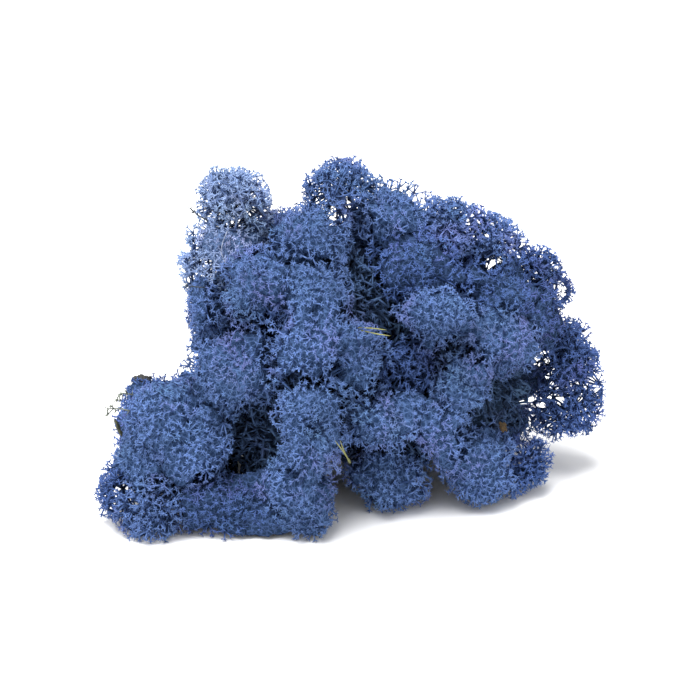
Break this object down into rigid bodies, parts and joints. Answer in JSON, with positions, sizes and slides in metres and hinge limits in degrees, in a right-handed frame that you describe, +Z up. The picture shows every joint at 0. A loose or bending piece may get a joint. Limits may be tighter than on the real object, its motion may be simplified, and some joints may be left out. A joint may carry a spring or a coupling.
{
  "type": "reindeer moss clump",
  "caption": "Handful of blue-dyed reindeer moss: a free-standing cushion of round lichen heads on branched stalks, with dark old stalks and dry needles inside.",
  "frame": {"origin": "on the surface the clump rests on, under the middle of its bounding box", "axes": "+X to the right along the clump's longest side, +Y to its back, +Z up"},
  "size_m": [0.1602, 0.0946, 0.1044],
  "materials": {
    "moss_blue": "matt, soft and porous, dyed blue",
    "moss_pale": "matt, soft and porous, washed-out pale blue",
    "moss_deep": "matt, soft and porous, dyed a deeper blue",
    "old_stalk": "matt, nearly black, dead old stalks soaked with dye",
    "pine_needle": "dry, straw-coloured, slightly satin",
    "bark": "matt, dry and rough"
  },
  "bodies": {
    "root": {"bark_flake": "bark", "head_back_01": "moss_deep", "head_back_02": "moss_deep", "head_back_03": "moss_blue", "head_back_04": "moss_deep", "head_back_05": "moss_blue", "head_back_06": "moss_blue", "head_back_07": "moss_deep", "head_back_08": "moss_blue", "head_back_09": "moss_deep", "head_back_10": "moss_blue", "head_back_11": "moss_blue", "head_back_12": "moss_deep", "head_breast_left": "moss_blue", "head_breast_right": "moss_blue", "head_brow_left": "moss_blue", "head_brow_right": "moss_blue", "head_column_base": "moss_blue", "head_column_foot": "moss_blue", "head_column_middle": "moss_blue", "head_column_top": "moss_blue", "head_crest": "moss_blue", "head_ledge": "moss_blue", "head_left_cushion": "moss_blue", "head_left_cushion_front": "moss_blue", "head_left_foot_front": "moss_blue", "head_left_foot_outer": "moss_deep", "head_left_hip": "moss_blue", "head_left_knob": "moss_blue", "head_left_shoulder": "moss_blue", "head_left_wisp": "moss_pale", "head_middle_cushion": "moss_blue", "head_middle_foot": "moss_blue", "head_middle_knob": "moss_blue", "head_middle_recess": "moss_deep", "head_ridge_1": "moss_blue", "head_ridge_2": "moss_blue", "head_ridge_3": "moss_blue", "head_ridge_4": "moss_deep", "head_right_cushion": "moss_blue", "head_right_foot": "moss_blue", "head_right_foot_outer": "moss_deep", "head_right_knob": "moss_blue", "head_right_overhang": "moss_deep", "head_right_shoulder": "moss_deep", "head_right_side": "moss_deep", "head_right_wall": "moss_deep", "head_saddle": "moss_blue", "head_skirt_left": "moss_deep", "head_skirt_right": "moss_deep", "head_tower_top": "moss_pale", "head_tower_waist": "moss_pale", "head_upper_wall": "moss_deep", "old_stalks_1": "old_stalk", "old_stalks_2": "old_stalk", "old_stalks_3": "old_stalk", "old_stalks_4": "old_stalk", "old_stalks_5": "old_stalk", "pine_needle_1": "pine_needle", "pine_needle_2": "pine_needle"}
  },
  "joints": []
}
